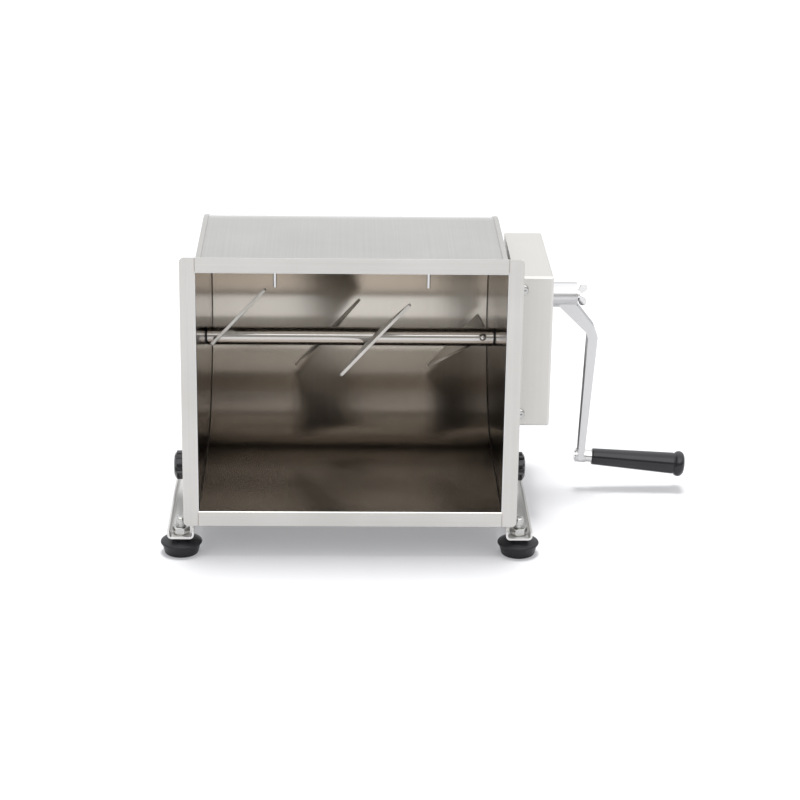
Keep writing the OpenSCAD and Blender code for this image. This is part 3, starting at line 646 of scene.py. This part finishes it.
def new_form_tree(name, inputs):
    """An empty form tree with named inputs for its sizes."""
    tree = bpy.data.node_groups.new(name, "GeometryNodeTree")
    tree.interface.new_socket("Geometry", in_out="INPUT", socket_type="NodeSocketGeometry")
    tree.interface.new_socket("Geometry", in_out="OUTPUT", socket_type="NodeSocketGeometry")
    for title, kind, value in inputs:
        tree.interface.new_socket(title, in_out="INPUT", socket_type=kind).default_value = value
    return tree, tree.nodes.new("NodeGroupInput"), tree.nodes.new("NodeGroupOutput")


def swept(tree, path, radius, sides):
    """A round or many-sided section swept along a path, with closed ends."""
    section = tree.nodes.new("GeometryNodeCurvePrimitiveCircle")
    section.inputs["Resolution"].default_value = sides
    tree.links.new(radius, section.inputs["Radius"])
    sweep = tree.nodes.new("GeometryNodeCurveToMesh")
    sweep.inputs["Fill Caps"].default_value = True
    tree.links.new(path, sweep.inputs["Curve"])
    tree.links.new(section.outputs["Curve"], sweep.inputs["Profile Curve"])
    return sweep.outputs["Mesh"]


def close_form(tree, geometry, end, material):
    """Ends a form tree with a plain mesh in its material."""
    realize = tree.nodes.new("GeometryNodeRealizeInstances")
    finish = tree.nodes.new("GeometryNodeSetMaterial")
    finish.inputs["Material"].default_value = material
    tree.links.new(geometry, realize.inputs["Geometry"])
    tree.links.new(realize.outputs["Geometry"], finish.inputs["Geometry"])
    tree.links.new(finish.outputs["Geometry"], end.inputs["Geometry"])


def thread_tree():
    """A ridge that winds up a stud."""
    tree, start, end = new_form_tree("stud_thread", [
        ("Radius", "NodeSocketFloat", 0.005), ("Turns", "NodeSocketFloat", 6.0),
        ("Height", "NodeSocketFloat", 0.009), ("Ridge", "NodeSocketFloat", 0.0005),
        ("Foot", "NodeSocketVector", (0, 0, 0))])
    wind = tree.nodes.new("GeometryNodeCurveSpiral")
    wind.inputs["Resolution"].default_value = 28
    tree.links.new(start.outputs["Turns"], wind.inputs["Rotations"])
    tree.links.new(start.outputs["Radius"], wind.inputs["Start Radius"])
    tree.links.new(start.outputs["Radius"], wind.inputs["End Radius"])
    tree.links.new(start.outputs["Height"], wind.inputs["Height"])
    ridge = swept(tree, wind.outputs["Curve"], start.outputs["Ridge"], sides=4)
    move = tree.nodes.new("GeometryNodeTransform")
    tree.links.new(ridge, move.inputs["Geometry"])
    tree.links.new(start.outputs["Foot"], move.inputs["Translation"])
    close_form(tree, move.outputs["Geometry"], end, zinc_plate)
    return tree


def bead_tree(name, material):
    """A round bead along a line of points."""
    tree, start, end = new_form_tree(name, [("Bead", "NodeSocketFloat", 0.0008)])
    path = tree.nodes.new("GeometryNodeMeshToCurve")
    tree.links.new(start.outputs["Geometry"], path.inputs["Mesh"])
    bead = swept(tree, path.outputs["Curve"], start.outputs["Bead"], sides=10)
    close_form(tree, bead, end, material)
    return tree


def grow(name, tree, values, points=()):
    """Runs a form tree on a line of points and returns the finished mesh."""
    seed = bpy.data.meshes.new(name)
    links = [(index, index + 1) for index in range(len(points) - 1)]
    seed.from_pydata([tuple(point) for point in points], links, [])
    work = bpy.data.objects.new(name + "_work", seed)
    scene.collection.objects.link(work)
    modifier = work.modifiers.new("form", "NODES")
    modifier.node_group = tree
    for item in tree.interface.items_tree:
        if item.in_out == "INPUT" and item.name in values:
            modifier[item.identifier] = values[item.name]
    made = finished_mesh(work)
    form = bmesh.new()
    form.from_mesh(made)
    bmesh.ops.remove_doubles(form, verts=form.verts, dist=seam_distance)
    bmesh.ops.recalc_face_normals(form, faces=form.faces)
    form.to_mesh(made)
    form.free()
    made.name = name
    return made


def cut_threads():
    """The thread on each foot stud, from its nut up to the stud's plain end."""
    radius, ridge, pitch, plain_end = 0.00490, 0.00042, 0.0015, 0.0026
    tree = thread_tree()
    nut_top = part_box("foot_nuts")[1].z
    for corner in ("front_left", "front_right", "rear_left", "rear_right"):
        low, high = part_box("foot_stud_" + corner)
        middle = (low + high) / 2
        height = high.z - nut_top - plain_end
        values = {
            "Radius": radius, "Turns": height / pitch, "Height": height, "Ridge": ridge,
            "Foot": (middle.x, middle.y, nut_top)}
        mesh = grow("foot_thread_" + corner, tree, values)
        as_piece("foot_thread_" + corner, mesh, "foot_" + corner)


def trough_line(x, inset):
    """Points along the inside of the trough at x, from its lower lip round the back to its upper lip."""
    behind_rim, wall_steps, arc_step = 0.004, 6, 3
    lip = rim_y + behind_rim
    reach = trough_radius - inset
    line = [Vector((x, lip * (1 - step / wall_steps), axis_z - reach)) for step in range(wall_steps)]
    for angle in range(-90, 91, arc_step):
        turn = math.radians(angle)
        line.append(Vector((x, reach * math.cos(turn), axis_z + reach * math.sin(turn))))
    line += [Vector((x, lip * (step + 1) / wall_steps, axis_z + reach)) for step in range(wall_steps)]
    return line


def lay_welds():
    """The weld inside each end of the trough."""
    radius, inset = 0.0007, 0.0002
    tree = bead_tree("weld_bead", seam_steel)
    for side, sign in (("left", -1), ("right", 1)):
        line = trough_line(tank_x + sign * (half_width - inset), inset)
        mesh = grow(side + "_weld", tree, {"Bead": radius}, line)
        as_piece(side + "_weld", mesh, "tank")


def round_rim_fold():
    """The rounded fold round the inside of the rim, with its lower side painted near white as a highlight."""
    radius = 0.0012
    left, right = tank_x - half_width, tank_x + half_width
    lower, upper = axis_z - trough_radius, axis_z + trough_radius
    over_mouth = [(left, lower), (left, upper), (right, upper), (right, lower)]
    under_mouth = [(left, lower), (right, lower)]
    for name, material, corners in (
            ("upper_rim_fold", finishes["bright_steel"], over_mouth),
            ("lower_rim_fold", fold_painted_highlight, under_mouth)):
        line = [Vector((x, rim_y + radius, z)) for x, z in corners]
        mesh = grow(name, bead_tree(name, material), {"Bead": radius}, line)
        as_piece(name, mesh, "tank")


cut_threads()
lay_welds()
round_rim_fold()


# Stage, light and camera

def set_stage():
    """A wide pale floor that glows a little, as a lit studio table does."""
    half_size = 12
    mesh = bpy.data.meshes.new("floor")
    form = bmesh.new()
    bmesh.ops.create_grid(form, x_segments=1, y_segments=1, size=half_size)
    form.to_mesh(mesh)
    form.free()
    floor = bpy.data.objects.new("floor", mesh)
    scene.collection.objects.link(floor)
    made, tree, shader, place = new_material("pale_floor")
    tone = noise(tree, place, scale=3.0, detail=2.0)
    floor_tones = ((0.62, 0.62, 0.62), (0.64, 0.64, 0.64))
    tree.links.new(two_tone(tree, tone, floor_tones), shader.inputs["Base Color"])
    shader.inputs["Roughness"].default_value = 0.6
    shader.inputs["Emission Color"].default_value = (0.95, 0.96, 1.0, 1)
    shader.inputs["Emission Strength"].default_value = 0.21
    mesh.materials.append(made)


def soft_sun(name, lean, spread, power):
    """A broad light from above and a little behind. The steel mirrors the room instead of it."""
    data = bpy.data.lights.new(name, "SUN")
    data.energy = power
    data.angle = spread
    light = bpy.data.objects.new(name, data)
    light.rotation_euler = (-lean, 0.0, 0.0)
    light.visible_glossy = False
    scene.collection.objects.link(light)


def set_light():
    """A white room for the steel to mirror, with a bright panel high in front and a dim wall under it."""
    dim_wall, panel = (0.50, 0.49, 0.475, 1), (2.6, 2.6, 2.6, 1)
    pale_wall, ceiling = (0.96, 0.97, 0.98, 1), (1.7, 1.7, 1.7, 1)
    soft_fill = (0.70, 0.70, 0.73, 1)
    front_span, panel_span, ceiling_span = (-0.45, -0.12), (0.40, 0.50), (0.45, 0.75)
    world = bpy.data.worlds.new("studio")
    scene.world = world
    world.use_nodes = True
    tree = world.node_tree
    back = tree.nodes["Background"]
    way = tree.nodes.new("ShaderNodeTexCoord").outputs["Generated"]
    split = add(tree, "ShaderNodeSeparateXYZ")
    tree.links.new(way, split.inputs["Vector"])
    height = split.outputs["Z"]
    in_front = fade_out(tree, split.outputs["Y"], 0.0, front_span)
    front = blend(tree, fade_in(tree, height, 0.0, panel_span), dim_wall, panel)
    rest = blend(tree, fade_in(tree, height, 0.0, ceiling_span), pale_wall, ceiling)
    room = blend(tree, in_front, rest, front)
    is_diffuse = tree.nodes.new("ShaderNodeLightPath").outputs["Is Diffuse Ray"]
    tree.links.new(blend(tree, is_diffuse, room, soft_fill), back.inputs["Color"])
    back.inputs["Strength"].default_value = 1.0
    soft_sun("overhead", lean=math.radians(6), spread=math.radians(18), power=2.8)


def set_camera():
    """The view of the photograph: a long lens, a little above and in front of the mouth."""
    # The stand is measured from the middle of the rim
    aside, ahead, above = -0.0150, -2.2383, 0.8025
    data = bpy.data.cameras.new("camera")
    data.sensor_width = 36.0
    data.lens = 107.14
    data.clip_end = 100.0
    camera = bpy.data.objects.new("camera", data)
    scene.collection.objects.link(camera)
    forward = Vector((0.0268, 0.9404, -0.3391)).normalized()
    right = Vector((0.9996, -0.0234, 0.0139))
    right = (right - right.dot(forward) * forward).normalized()
    up = right.cross(forward)
    turn = Matrix((right, up, -forward)).transposed().to_4x4()
    stand = Vector((tank_x + aside, rim_y + ahead, axis_z + above))
    camera.matrix_world = Matrix.Translation(stand) @ turn
    scene.camera = camera


set_stage()
set_light()
set_camera()
scene.view_settings.view_transform = "Standard"
